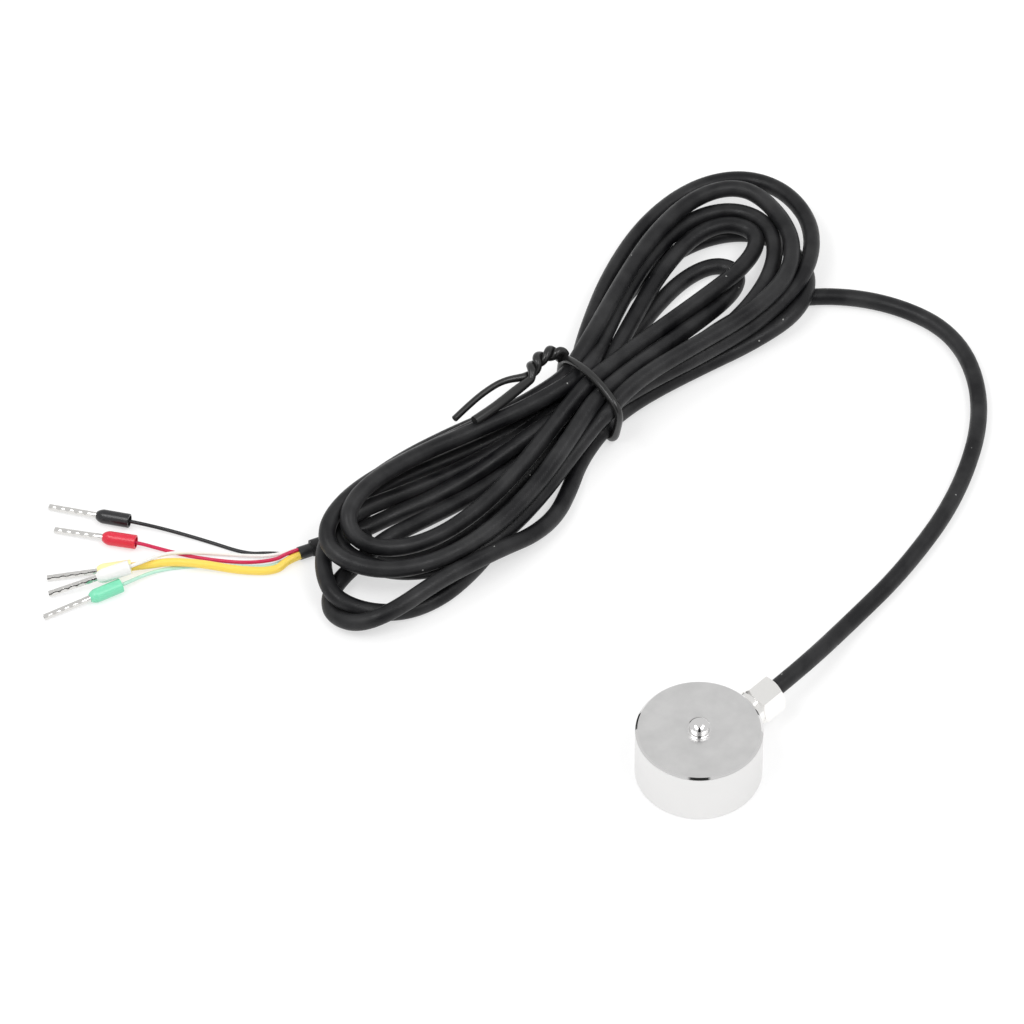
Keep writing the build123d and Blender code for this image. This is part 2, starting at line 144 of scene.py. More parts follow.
def nurbs_curve(
    name: str, points: np.ndarray, radius: float, closed: bool = False, swell: np.ndarray | None = None
) -> bpy.types.Object:
    """A round tube along one quadratic spline.

    Args:
        name: Name of the new object.
        points: Control points, in millimetres.
        radius: Radius of the tube, in millimetres.
        closed: Whether the spline runs back into its start.
        swell: Factor on the radius at each point, or None for an even tube.

    Returns:
        The curve object, linked to the scene.
    """
    data = bpy.data.curves.new(name, "CURVE")
    data.dimensions = "3D"
    data.bevel_depth = radius * MM
    data.bevel_resolution = TUBE_ROUNDING
    data.resolution_u = SPAN_STEPS
    data.use_fill_caps = not closed
    spline = data.splines.new("NURBS")
    spline.points.add(len(points) - 1)
    flat = np.column_stack([np.asarray(points) * MM, np.ones(len(points))])
    spline.points.foreach_set("co", flat.ravel())
    if swell is not None:
        spline.points.foreach_set("radius", swell)
    spline.order_u = 3
    spline.use_cyclic_u = closed
    spline.use_endpoint_u = not closed
    curve = bpy.data.objects.new(name, data)
    bpy.context.scene.collection.objects.link(curve)
    return curve


# Finishes


class Graph:
    """Adds and joins the nodes of one node tree."""

    def __init__(self, tree: bpy.types.NodeTree) -> None:
        """Takes a node tree and empties it."""
        self.tree = tree
        self.tree.nodes.clear()

    def new(self, kind: str, **settings: object) -> bpy.types.Node:
        """Adds a node and sets its properties.

        Args:
            kind: Blender's name of the node type.
            **settings: Properties of the node, by name.

        Returns:
            The new node.
        """
        node = self.tree.nodes.new(kind)
        for key, value in settings.items():
            setattr(node, key, value)
        return node

    def link(self, source: bpy.types.NodeSocket, target: bpy.types.NodeSocket) -> None:
        """Joins an output to an input.

        Args:
            source: Output socket.
            target: Input socket.
        """
        self.tree.links.new(source, target)

    def noise(self, place: bpy.types.NodeSocket, scale: float, detail: float = 3.0) -> bpy.types.NodeSocket:
        """Noise over the given coordinates.

        Args:
            place: Coordinates.
            scale: Waves in each unit of the coordinates.
            detail: Octaves.

        Returns:
            The socket of the noise, from 0 to 1.
        """
        texture = self.new("ShaderNodeTexNoise")
        texture.inputs["Scale"].default_value = scale
        texture.inputs["Detail"].default_value = detail
        self.link(place, texture.inputs["Vector"])
        return texture.outputs["Fac"]

    def remap(self, value: bpy.types.NodeSocket, source: Span, target: Span) -> bpy.types.NodeSocket:
        """Maps a range of a value to another range, held at its ends.

        Args:
            value: Socket to map.
            source: Start and end of the range of the value.
            target: Result at each of them.

        Returns:
            The socket of the mapped value.
        """
        step = self.new("ShaderNodeMapRange")
        for key, number in zip(("From Min", "From Max", "To Min", "To Max"), source + target):
            step.inputs[key].default_value = number
        self.link(value, step.inputs["Value"])
        return step.outputs["Result"]

    def maths(self, operation: str, first: Value, second: Value | None = None) -> bpy.types.NodeSocket:
        """One step of arithmetic on sockets or numbers.

        Args:
            operation: Blender's name of the operation.
            first: First value.
            second: Second value, if the operation has one.

        Returns:
            The socket of the result.
        """
        step = self.new("ShaderNodeMath", operation=operation)
        for socket, value in zip(step.inputs, (first, second)):
            if isinstance(value, bpy.types.NodeSocket):
                self.link(value, socket)
            elif value is not None:
                socket.default_value = value
        return step.outputs[0]

    def product(self, first: Value, *others: Value) -> bpy.types.NodeSocket:
        """Multiplies sockets and numbers together.

        Args:
            first: First factor.
            *others: The other factors.

        Returns:
            The socket of the product.
        """
        result = first
        for factor in others:
            result = self.maths("MULTIPLY", result, factor)
        return result

    def share_along(self, vector: bpy.types.NodeSocket, way: Point) -> bpy.types.NodeSocket:
        """Part of a vector that points along a direction.

        Args:
            vector: The vector's socket.
            way: The direction, as a unit vector.

        Returns:
            The socket of the dot product.
        """
        step = self.new("ShaderNodeVectorMath", operation="DOT_PRODUCT")
        step.inputs[1].default_value = way
        self.link(vector, step.inputs[0])
        return step.outputs["Value"]

    def blend(self, amount: bpy.types.NodeSocket, first: Paint, second: Paint) -> bpy.types.NodeSocket:
        """Mixes two colours.

        Args:
            amount: Share of the second colour.
            first: Colour at 0.
            second: Colour at 1.

        Returns:
            The socket of the mixed colour.
        """
        mix = self.new("ShaderNodeMix", data_type="RGBA")
        self.link(amount, mix.inputs[0])
        for socket, colour in zip(mix.inputs[6:8], (first, second)):
            if isinstance(colour, bpy.types.NodeSocket):
                self.link(colour, socket)
            else:
                socket.default_value = (*colour, 1.0)
        return mix.outputs[2]


class Surface(Graph):
    """Nodes of one material, with its main shader and its output."""

    def __init__(self, name: str) -> None:
        """Makes the material with its shader joined to its output.

        Args:
            name: Name of the material.
        """
        self.material = bpy.data.materials.new(name)
        self.material.use_nodes = True
        super().__init__(self.material.node_tree)
        self.shader = self.new("ShaderNodeBsdfPrincipled")
        output = self.new("ShaderNodeOutputMaterial")
        self.link(self.shader.outputs["BSDF"], output.inputs["Surface"])

    def place(self, scale: Point = (1.0, 1.0, 1.0)) -> bpy.types.NodeSocket:
        """Object coordinates in millimetres, stretched by a scale.

        Args:
            scale: Factor along each axis.

        Returns:
            The socket of the stretched coordinates.
        """
        where = self.new("ShaderNodeTexCoord")
        stretch = self.new("ShaderNodeMapping")
        stretch.inputs["Scale"].default_value = [factor / MM for factor in scale]
        self.link(where.outputs["Object"], stretch.inputs["Vector"])
        return stretch.outputs["Vector"]

    def set(self, name: str, value: Value | Colour) -> None:
        """Sets one input of the shader, or joins it to a socket.

        Args:
            name: Name of the input.
            value: Socket, number or colour.
        """
        target = self.shader.inputs[name]
        if isinstance(value, bpy.types.NodeSocket):
            self.link(value, target)
        elif target.type == "RGBA":
            target.default_value = (*value, 1.0)
        else:
            target.default_value = value

    def relief(self, height: bpy.types.NodeSocket, depth: float) -> None:
        """Bumps the surface by a height.

        Args:
            height: Socket of the height, from 0 to 1.
            depth: Depth of the relief, in millimetres.
        """
        bump = self.new("ShaderNodeBump")
        bump.inputs["Distance"].default_value = depth * MM
        bump.inputs["Strength"].default_value = 1.0
        self.link(height, bump.inputs["Height"])
        self.set("Normal", bump.outputs["Normal"])


@dataclass(frozen=True)
class Plain:
    """Moulded or coated surface of one colour.

    Attributes:
        name: Name of the material.
        colour: Linear base colour.
        roughness: Roughness of the surface.
        grain: Depth of a fine relief, in millimetres, or 0.
        grain_scale: Waves of the relief in each millimetre.
        translucent: Share of light that scatters under the surface.
        scatter: How far it scatters, in millimetres.
        specular: Specular level.
    """

    name: str
    colour: Colour
    roughness: float = 0.5
    grain: float = 0.0
    grain_scale: float = 4.0
    translucent: float = 0.0
    scatter: float = 0.4
    specular: float = 0.5

    def make(self) -> bpy.types.Material:
        """Builds the material.

        Returns:
            The new material.
        """
        surface = Surface(self.name)
        surface.set("Base Color", self.colour)
        surface.set("Roughness", self.roughness)
        surface.set("Specular IOR Level", self.specular)
        if self.translucent:
            surface.set("Subsurface Weight", self.translucent)
            surface.set("Subsurface Radius", (self.scatter * MM,) * 3)
            surface.set("Subsurface Scale", 1.0)
        if self.grain:
            surface.relief(surface.noise(surface.place(), self.grain_scale), self.grain)
        return surface.material


@dataclass(frozen=True)
class CableRubber:
    """Soft black jacket with a dusty bloom and a few pale specks.

    Attributes:
        name: Name of the material.
        dark: Linear colour of clean rubber.
        bloom: Linear colour of the dusty bloom.
        bloom_scale: Waves of the bloom in each millimetre.
        bloom_edge: Noise at which the bloom starts and is full.
        speck: Linear colour of the specks.
        speck_scale: Specks in each millimetre.
        speck_edge: Distances from its middle over which a speck fades, as shares of the spacing.
        roughness: Lowest and highest roughness.
        rough_scale: Waves of the roughness in each millimetre.
        specular: Specular level.
        grain: Depth of the fine grain, in millimetres.
        grain_scale: Waves of the grain in each millimetre.
    """

    name: str
    dark: Colour = (0.005, 0.005, 0.006)
    bloom: Colour = (0.026, 0.026, 0.027)
    bloom_scale: float = 0.16
    bloom_edge: Span = (0.38, 0.68)
    speck: Colour = (0.35, 0.35, 0.34)
    speck_scale: float = 0.32
    speck_edge: Span = (0.03, 0.05)
    roughness: Span = (0.34, 0.5)
    rough_scale: float = 0.5
    specular: float = 0.26
    grain: float = 0.03
    grain_scale: float = 4.0

    def make(self) -> bpy.types.Material:
        """Builds the material.

        Returns:
            The new material.
        """
        surface = Surface(self.name)
        place = surface.place()
        patches = surface.remap(surface.noise(place, self.bloom_scale, 4.0), self.bloom_edge, (0.0, 1.0))
        rubber = surface.blend(patches, self.dark, self.bloom)
        cells = surface.new("ShaderNodeTexVoronoi")
        cells.inputs["Scale"].default_value = self.speck_scale
        surface.link(place, cells.inputs["Vector"])
        near = surface.remap(cells.outputs["Distance"], self.speck_edge, (1.0, 0.0))
        surface.set("Base Color", surface.blend(near, rubber, self.speck))
        rough = surface.noise(place, self.rough_scale, 5.0)
        surface.set("Roughness", surface.remap(rough, NOISE_SPAN, self.roughness))
        surface.set("Specular IOR Level", self.specular)
        surface.relief(surface.noise(place, self.grain_scale, 4.0), self.grain)
        return surface.material


@dataclass(frozen=True)
class Metal:
    """Bright metal with a fine random grain.

    Attributes:
        name: Name of the material.
        colour: Linear base colour.
        roughness: Middle of the roughness.
        spread: How far the roughness strays from its middle.
        grain: Depth of the grain, in millimetres.
        grain_scale: Waves of the grain in each millimetre.
    """

    name: str
    colour: Colour
    roughness: float = 0.25
    spread: float = 0.05
    grain: float = 0.001
    grain_scale: float = 2.0

    def make(self) -> bpy.types.Material:
        """Builds the material.

        Returns:
            The new material.
        """
        surface = Surface(self.name)
        surface.set("Base Color", self.colour)
        surface.set("Metallic", 1.0)
        grain = surface.noise(surface.place(), self.grain_scale, 4.0)
        span = (self.roughness - self.spread, self.roughness + self.spread)
        surface.set("Roughness", surface.remap(grain, NOISE_SPAN, span))
        surface.relief(grain, self.grain)
        return surface.material


@dataclass(frozen=True)
class GroundSteel:
    """Steel of the cell: matt lapped top, turned side, polished rim and button.

    Attributes:
        name: Name of the material.
        colour: Linear base colour.
        shade: Linear colour of the clouds on the top.
        clouds: Least and greatest share of the shade on the top.
        cloud_edge: Noise at which a cloud starts and is full.
        cloud_scale: Waves of the clouds in each millimetre.
        lap_scale: Waves of the lapped top's grain in each millimetre.
        ring_stretch: Waves of the turned side's rings in each millimetre, along each axis.
        polish: Roughness of the rim and the button.
        lapped: Lowest and highest roughness that the top has beyond that.
        turned: Lowest and highest roughness that the side has beyond that.
        relief: Depth of the relief, in millimetres.
        lap_relief: Share of it on the top.
        ring_relief: Share of it on the side.
        top: Height over which the steel is lapped, in millimetres.
        rim: Radius at which the polished rim starts, in millimetres.
        wall: Radius outside which the steel is turned, in millimetres.
        button: Radius inside which the steel is polished, in millimetres.
    """

    name: str
    colour: Colour = (0.78, 0.775, 0.77)
    shade: Colour = (0.40, 0.40, 0.40)
    clouds: Span = (0.10, 0.28)
    cloud_edge: Span = (0.35, 0.7)
    cloud_scale: float = 0.35
    lap_scale: float = 5.0
    ring_stretch: Point = (0.02, 0.02, 9.0)
    polish: float = 0.05
    lapped: Span = (0.24, 0.34)
    turned: Span = (0.24, 0.34)
    relief: float = 0.006
    lap_relief: float = 0.4
    ring_relief: float = 0.3
    top: float = 9.98
    rim: float = 9.64
    wall: float = 9.95
    button: float = 1.85

    def make(self) -> bpy.types.Material:
        """Builds the material.

        Returns:
            The new material.
        """
        surface = Surface(self.name)
        place = surface.place()
        split = surface.new("ShaderNodeSeparateXYZ")
        surface.link(place, split.inputs[0])
        squares = [surface.maths("POWER", split.outputs[axis], 2.0) for axis in "XY"]
        radius = surface.maths("SQRT", surface.maths("ADD", *squares))
        flat = surface.product(
            surface.maths("GREATER_THAN", split.outputs["Z"], self.top),
            surface.maths("LESS_THAN", radius, self.rim),
            surface.maths("GREATER_THAN", radius, self.button),
        )
        side = surface.maths("GREATER_THAN", radius, self.wall)
        rings = surface.noise(surface.place(self.ring_stretch), 1.0, 3.0)
        lap = surface.noise(place, self.lap_scale, 5.0)
        clouds = surface.remap(surface.noise(place, self.cloud_scale, 4.0), self.cloud_edge, self.clouds)
        surface.set("Base Color", surface.blend(surface.product(flat, clouds), self.colour, self.shade))
        surface.set("Metallic", 1.0)
        top_rough = surface.product(flat, surface.remap(lap, NOISE_SPAN, self.lapped))
        side_rough = surface.product(side, surface.remap(rings, NOISE_SPAN, self.turned))
        rough = surface.maths("ADD", surface.maths("ADD", self.polish, top_rough), side_rough)
        surface.set("Roughness", rough)
        height = surface.maths(
            "ADD",
            surface.product(flat, lap, self.lap_relief),
            surface.product(side, rings, self.ring_relief),
        )
        surface.relief(height, self.relief)
        return surface.material


def coat(nodes: Solids, material: bpy.types.Material, *names: str) -> None:
    """Gives solids of the frame one finish.

    Args:
        nodes: The solids of the frame, by name.
        material: The finish.
        *names: Names of the solids.
    """
    for name in names:
        nodes[name].data.materials.clear()
        nodes[name].data.materials.append(material)
        LOG.info("finish of %s: %s", name, material.name)


# Cell and gland


@dataclass(frozen=True)
class Cell:
    """The cell's body and cover, and what is inside them.

    Attributes:
        steel: Finish of the body.
        sheet: Finish of the cover.
        board: Finish of the terminal board.
        chip: Finish of the trim resistors.
        film: Finish of the strain gauges.
        copper: Finish of the gauges' leads.
        gauges: Number of strain gauges.
    """

    steel: GroundSteel = GroundSteel("ground_steel")
    sheet: Metal = Metal("sheet_steel", (0.7, 0.7, 0.7), 0.35, 0.05)
    board: Plain = Plain("board_green", (0.02, 0.16, 0.06), 0.4)
    chip: Plain = Plain("chip_black", (0.02, 0.02, 0.02), 0.4)
    film: Plain = Plain("amber_film", (0.55, 0.22, 0.03), 0.35)
    copper: Metal = Metal("lead_copper", (0.55, 0.22, 0.10), 0.3, 0.05)
    gauges: int = 4

    def dress(self, nodes: Solids) -> None:
        """Gives each solid of the cell its finish.

        Args:
            nodes: The solids of the frame, by name.
        """
        coat(nodes, self.steel.make(), "cell_body")
        coat(nodes, self.sheet.make(), "bottom_cover")
        coat(nodes, self.board.make(), "terminal_board")
        coat(nodes, self.chip.make(), "trim_resistors")
        coat(nodes, self.film.make(), *(f"strain_gauge_{1 + index}" for index in range(self.gauges)))
        coat(nodes, self.copper.make(), "gauge_leads")


@dataclass(frozen=True)
class Gland:
    """The gland in the cell's side and the cores inside it.

    Attributes:
        plate: Finish of the nipple and the nut.
        bush: Finish of the bush.
        insulation: Finish of the cores that run on to the board.
    """

    plate: Metal = Metal("gland_plate", (0.95, 0.94, 0.92), 0.16, 0.04)
    bush: Plain = Plain("bush_black", (0.02, 0.02, 0.02), 0.5, 0.01)
    insulation: Plain = Plain("inner_insulation", (0.6, 0.6, 0.58), 0.4)

    def dress(self, nodes: Solids) -> None:
        """Gives each solid of the gland its finish.

        Args:
            nodes: The solids of the frame, by name.
        """
        coat(nodes, self.plate.make(), "gland_nipple", "gland_nut")
        coat(nodes, self.bush.make(), "gland_bush")
        coat(nodes, self.insulation.make(), "inner_cores")


# Cable and hank


@dataclass(frozen=True)
class Turn:
    """One even fold of the cable from the tie round an end of the hank and back to the tie.

    Attributes:
        side: End of the hank.
        start: Slot in the tie where the fold starts.
        end: Slot in the tie where it ends.
        reach: Distance from the tie to the fold's end, in millimetres.
        tilt: Turn of the fold's axis towards +Y, in degrees.
        swell: How far the first and the second half stand off the axis, in millimetres.
        taper: How fast each half narrows towards the tie.
        heights: Height at the first quarter, the end and the third quarter, in millimetres.
    """

    side: Side
    start: str
    end: str
    reach: float
    tilt: float
    swell: tuple[float, float]
    taper: tuple[float, float]
    heights: Point

    def points(self, first: np.ndarray, second: np.ndarray, count: int) -> np.ndarray:
        """Control points of the fold, without those in the tie.

        With s from 0 to 1 along the fold and p = 2 pi s, the fold lies (1 - cos p) / 2 of its
        reach along its axis, and swell * sin p * sin(p / 2)^taper off it.

        Args:
            first: Centre of the strand in the tie where the fold starts, in millimetres.
            second: Centre of the strand where it ends.
            count: Control points of a fold, with the one in the tie.

        Returns:
            Points in millimetres, one in each row.
        """
        share = np.arange(1, count) / count
        angle = 2 * math.pi * share
        half = (angle > math.pi).astype(int)
        swell = np.array(self.swell)[half] * np.sin(angle) * np.sin(angle / 2) ** np.array(self.taper)[half]
        out = self.reach * (1 - np.cos(angle)) / 2
        tilt = math.radians(self.tilt)
        side = self.side.value
        axis = np.array([side * math.cos(tilt), math.sin(tilt)])
        place = first[:2] * (1 - share)[:, None] + second[:2] * share[:, None]
        place = place + out[:, None] * axis + side * swell[:, None] * np.array([0.0, 1.0])
        levels = np.array([first[2], *self.heights, second[2]])
        quarter = np.clip((share * 4).astype(int), 0, 3)
        rest = share * 4 - quarter
        ease = rest * rest * (3 - 2 * rest)
        height = levels[quarter] * (1 - ease) + levels[quarter + 1] * ease
        return np.column_stack([place, height])


@dataclass(frozen=True)
class StrayTurn:
    """One fold that strays from the others and follows its own points.

    Attributes:
        start: Slot in the tie where the fold starts.
        end: Slot in the tie where it ends.
        route: Control points without those in the tie, in millimetres.
    """

    start: str
    end: str
    route: tuple[Point, ...]

    def points(self, first: np.ndarray, second: np.ndarray, count: int) -> np.ndarray:
        """Control points of the fold, without those in the tie.

        Args:
            first: Centre of the strand in the tie where the fold starts, in millimetres; not used.
            second: Centre of the strand where it ends; not used.
            count: Control points of an even fold, which a stray one doesn't need.

        Returns:
            Points in millimetres, one in each row.
        """
        return np.array(self.route)


# Folds that stray, from the tie round the left end of the hank and back

INNER_FOLD = StrayTurn(
    "low_3",
    "low_1",
    (
        (37.1, 62.3, 2.0),
        (30.5, 61.5, 1.6),
        (22.5, 60.4, 1.5),
        (14.1, 59.6, 1.4),
        (5.8, 59.8, 1.4),
        (-0.9, 62.5, 1.4),
        (-4.3, 67.6, 1.4),
        (-2.1, 72.6, 1.5),
        (2.6, 75.3, 1.8),
        (9.0, 74.4, 2.0),
        (16.1, 72.0, 2.2),
        (23.8, 69.5, 2.4),
        (31.3, 67.8, 2.4),
        (38.6, 67.1, 2.3),
    ),
)
OUTER_FOLD = StrayTurn(
    "low_4",
    "low_2",
    (
        (37.8, 58.1, 1.9),
        (32.1, 56.7, 1.4),
        (26.8, 53.7, 1.4),
        (21.4, 51.4, 1.4),
        (16.0, 51.3, 1.4),
        (10.7, 52.6, 1.9),
        (5.0, 53.0, 3.2),
        (-3.1, 53.9, 4.2),
        (-12.1, 55.0, 3.4),
        (-17.0, 58.2, 1.8),
        (-18.0, 62.7, 1.4),
        (-15.7, 65.7, 1.4),
        (-12.0, 66.9, 1.4),
        (-7.3, 67.3, 1.4),
        (-0.9, 67.6, 1.4),
        (4.6, 66.4, 1.4),
        (11.1, 64.9, 1.4),
        (17.9, 63.8, 1.4),
        (26.8, 63.5, 1.6),
        (35.5, 64.0, 2.0),
    ),
)
CROSSED_FOLD = StrayTurn(
    "mid_4",
    "mid_2",
    (
        (34.2, 58.4, 3.6),
        (26.8, 57.5, 2.4),
        (17.9, 56.0, 1.6),
        (9.0, 54.0, 1.4),
        (2.9, 52.9, 1.4),
        (-3.7, 52.7, 1.4),
        (-9.9, 54.4, 1.8),
        (-15.0, 57.7, 3.4),
        (-17.2, 62.9, 4.2),
        (-14.8, 67.8, 4.2),
        (-10.4, 72.0, 3.6),
        (-5.1, 74.4, 2.6),
        (1.0, 74.2, 2.0),
        (8.3, 71.5, 2.0),
        (16.0, 69.0, 2.2),
        (24.1, 66.9, 2.8),
        (32.4, 65.5, 3.6),
    ),
)


@dataclass(frozen=True)
class HankPlan:
    """Sizes of the folded cable.

    Attributes:
        diameter: Diameter of the cable, in millimetres.
        tie: Centre of the tie, in millimetres.
        tie_turn: Turn of the tie's span from +Y towards +X, in degrees.
        points_per_turn: Control points of a fold, with the one in the tie.
        slots: Place of each strand in the tie, along its span and above the floor.
        turns: Folds, in order along the cable.
        lead: Cable from the gland to the tie.
        tail: Cable from the tie to the end of its jacket.
        held_at_start: Control points of the lead that the settling leaves in place.
        held_at_end: Control points of the tail that it leaves in place.
        tie_reach: Half width of the space in which strands belong to the tie, in millimetres.
    """

    diameter: float = 2.75
    tie: tuple[float, float] = (41.0, 62.6)
    tie_turn: float = 10.0
    points_per_turn: int = 14
    slots: dict[str, tuple[float, float]] = field(
        default_factory=lambda: {
            "top_1": (5.2, 6.9),
            "top_2": (2.9, 8.0),
            "top_3": (0.1, 8.8),
            "top_4": (-2.8, 8.3),
            "top_5": (-5.5, 7.1),
            "mid_1": (4.9, 4.2),
            "mid_2": (1.5, 5.8),
            "mid_3": (-1.4, 5.9),
            "mid_4": (-4.0, 5.3),
            "low_1": (5.8, 2.1),
            "low_2": (2.7, 2.6),
            "low_3": (-2.7, 2.5),
            "low_4": (-4.8, 2.6),
        }
    )
    turns: tuple[Turn | StrayTurn, ...] = (
        INNER_FOLD,
        Turn(Side.RIGHT, "low_1", "low_4", 48.1, 1.4, (14.2, 17.1), (0.9, 3.1), (1.5, 2.4, 2.0)),
        OUTER_FOLD,
        Turn(Side.RIGHT, "low_2", "top_4", 38.6, 6.6, (7.2, 6.2), (1.9, 2.8), (1.4, 2.2, 6.0)),
        Turn(Side.LEFT, "top_4", "top_1", 53.1, 4.9, (14.9, 11.4), (1.3, 2.2), (5.2, 5.6, 5.4)),
        Turn(Side.RIGHT, "top_1", "top_5", 52.1, 11.5, (11.3, 20.9), (1.4, 2.6), (6.4, 5.6, 6.2)),
        Turn(Side.LEFT, "top_5", "mid_1", 50.5, 7.3, (17.2, 10.5), (1.7, 1.2), (4.0, 3.6, 3.8)),
        Turn(Side.RIGHT, "mid_1", "mid_4", 55.5, 7.9, (17.2, 18.5), (0.95, 1.9), (4.4, 5.0, 4.4)),
        CROSSED_FOLD,
        Turn(Side.RIGHT, "mid_2", "top_3", 45.0, 6.9, (11.8, 7.4), (2.2, 3.2), (3.8, 5.2, 7.0)),
        Turn(Side.LEFT, "top_3", "top_2", 49.0, 4.0, (11.9, 12.3), (1.7, 2.6), (6.8, 6.6, 7.0)),
        Turn(Side.RIGHT, "top_2", "mid_3", 48.9, 7.9, (13.0, 11.6), (1.4, 1.0), (5.0, 3.6, 4.0)),
    )
    lead: tuple[Point, ...] = (
        (16.0, 0.0, 4.8),
        (24.2, 0.0, 4.8),
        (36.8, 2.4, 1.7),
        (52.0, 3.9, 1.38),
        (69.5, 8.2, 1.38),
        (86.0, 17.6, 1.38),
        (94.6, 31.0, 1.38),
        (92.2, 44.4, 1.38),
        (84.0, 55.6, 1.4),
        (73.0, 59.8, 1.4),
        (60.0, 60.2, 1.8),
        (50.0, 60.3, 2.2),
    )
    tail: tuple[Point, ...] = (
        (32.9, 64.9, 3.4),
        (25.8, 65.9, 2.2),
        (17.6, 66.8, 1.5),
        (9.9, 68.2, 1.4),
        (3.9, 70.1, 1.4),
        (-3.6, 72.0, 1.375),
        (-9.75, 74.45, 1.375),
        (-10.49, 74.76, 1.375),
    )
    held_at_start: int = 8
    held_at_end: int = 3
    tie_reach: float = 12.0


@dataclass(frozen=True)
class Settling:
    """How the strands come to rest on the floor and on each other.

    Attributes:
        way: Direction along which a strand gives way, as a unit vector.
        rounds: Number of small moves.
        samples: Samples in each span of the spline.
        gain: Factor on a push, spread over the control points.
        sideways: Share of a push that also acts across the way.
        drop: Fall of each strand in a move, in millimetres.
        spring: Share of the drift across the way that springs back in a move.
        smoothing: Share of the moves that is spread to the neighbouring points.
        apart: Least length of cable between two places that can meet, in millimetres.
        reach: How much further than a diameter near places are looked for, in millimetres.
        refresh: Moves between two searches for near places.
    """

    way: Point = (-0.468, -0.452, 0.759)
    rounds: int = 360
    samples: int = 6
    gain: float = 1.5
    sideways: float = 0.15
    drop: float = 0.02
    spring: float = 0.05
    smoothing: float = 0.5
    apart: float = 9.0
    reach: float = 1.5
    refresh: int = 8


@dataclass(frozen=True)
class Hank:
    """The whole cable as one line, from the gland through its folds to its end.

    Attributes:
        plan: Sizes of the folded cable.
        settling: How the strands come to rest.
    """

    plan: HankPlan
    settling: Settling

    @property
    def across(self) -> np.ndarray:
        """Direction of the tie's span on the floor."""
        turn = math.radians(self.plan.tie_turn)
        return np.array([math.sin(turn), math.cos(turn)])

    def slot(self, name: str) -> np.ndarray:
        """Centre of a strand in the tie.

        Args:
            name: Name of the slot.

        Returns:
            The point, in millimetres.
        """
        along, height = self.plan.slots[name]
        place = np.array(self.plan.tie) + self.across * along
        return np.array([place[0], place[1], height])

    def route(self) -> tuple[np.ndarray, np.ndarray]:
        """Control points of the whole cable before it settles.

        Returns:
            The points in millimetres, and for each one 1 if it stays in place, or else 0.
        """
        pieces = [np.array(self.plan.lead), self.slot(self.plan.turns[0].start)[None]]
        for turn in self.plan.turns:
            first, second = self.slot(turn.start), self.slot(turn.end)
            pieces.append(turn.points(first, second, self.plan.points_per_turn))
            pieces.append(second[None])
        pieces.append(np.array(self.plan.tail))
        points = np.vstack(pieces)
        held = np.zeros(len(points))
        held[: self.plan.held_at_start] = 1.0
        held[-self.plan.held_at_end :] = 1.0
        return points, held

    def settle(self, points: np.ndarray, held: np.ndarray) -> np.ndarray:
        """Lets the strands come to rest on the floor and on each other.

        Places closer than a diameter push each other apart, mostly along the settling's way,
        every strand falls back a little, and what drifts across the way springs back.

        Args:
            points: Control points, in millimetres.
            held: 1 for each point that stays in place, or else 0.

        Returns:
            The settled control points, in millimetres.
        """
        rules = self.settling
        diameter = self.plan.diameter
        floor = diameter / 2
        way = np.array(rules.way)
        way = way / np.linalg.norm(way)
        weights = spline_samples(len(points), rules.samples)
        spread = (weights / weights.sum(0)).T
        home = points.copy()
        free = (1 - held)[:, None]
        for move in range(rules.rounds):
            line = weights @ points
            cooling = 1 - move / rules.rounds
            if move % rules.refresh == 0:
                along = distances_along(line)
                apart = np.linalg.norm(line[:, None] - line[None], axis=2)
                near = apart < diameter + rules.reach
                near &= np.abs(along[:, None] - along[None]) > rules.apart
                one, other = np.nonzero(np.triu(near))
            gap = line[one] - line[other]
            distance = np.linalg.norm(gap, axis=1) + 1e-9
            overlap = np.maximum(diameter - distance, 0)
            force = gap / distance[:, None] * overlap[:, None] * 0.5
            push = np.zeros_like(line)
            np.add.at(push, one, force)
            np.add.at(push, other, -force)
            met = np.bincount(one, overlap > 0, len(line)) + np.bincount(other, overlap > 0, len(line))
            push /= np.sqrt(np.maximum(met, 1))[:, None]
            forward = way * (push @ way)[:, None]
            push = forward + (push - forward) * rules.sideways - way * rules.drop * cooling
            lift = spread @ np.maximum(floor - line[:, 2], 0) / way[2]
            points = points + (spread @ push * rules.gain + way * lift[:, None]) * free
            drift = points - home
            drift -= (drift - way * (drift @ way)[:, None]) * rules.spring
            smooth = drift.copy()
            smooth[1:-1] = 0.25 * drift[:-2] + 0.5 * drift[1:-1] + 0.25 * drift[2:]
            drift += (smooth - drift) * rules.smoothing * cooling
            points = home + drift * free
            lift = np.maximum(floor - points[:, 2], 0) / way[2]
            points = points + way * lift[:, None] * free
        return points

    def points(self) -> np.ndarray:
        """Settled control points of the cable.

        Returns:
            The points, in millimetres.
        """
        return self.settle(*self.route())

    def tie_centres(self, line: np.ndarray) -> np.ndarray:
        """Where the strands cross the plane of the tie.

        Args:
            line: Closely spaced points of the cable, in millimetres.

        Returns:
            For each crossing, its place along the tie's span and its height.
        """
        normal = np.array([self.across[1], -self.across[0]])
        offset = (line[:, :2] - np.array(self.plan.tie)) @ normal
        crossing = np.nonzero((offset[:-1] * offset[1:] < 0))[0]
        share = offset[crossing] / (offset[crossing] - offset[crossing + 1])
        place = line[crossing] + (line[crossing + 1] - line[crossing]) * share[:, None]
        along = (place[:, :2] - np.array(self.plan.tie)) @ self.across
        near = np.abs(along) < self.plan.tie_reach
        return np.column_stack([along, place[:, 2]])[near]


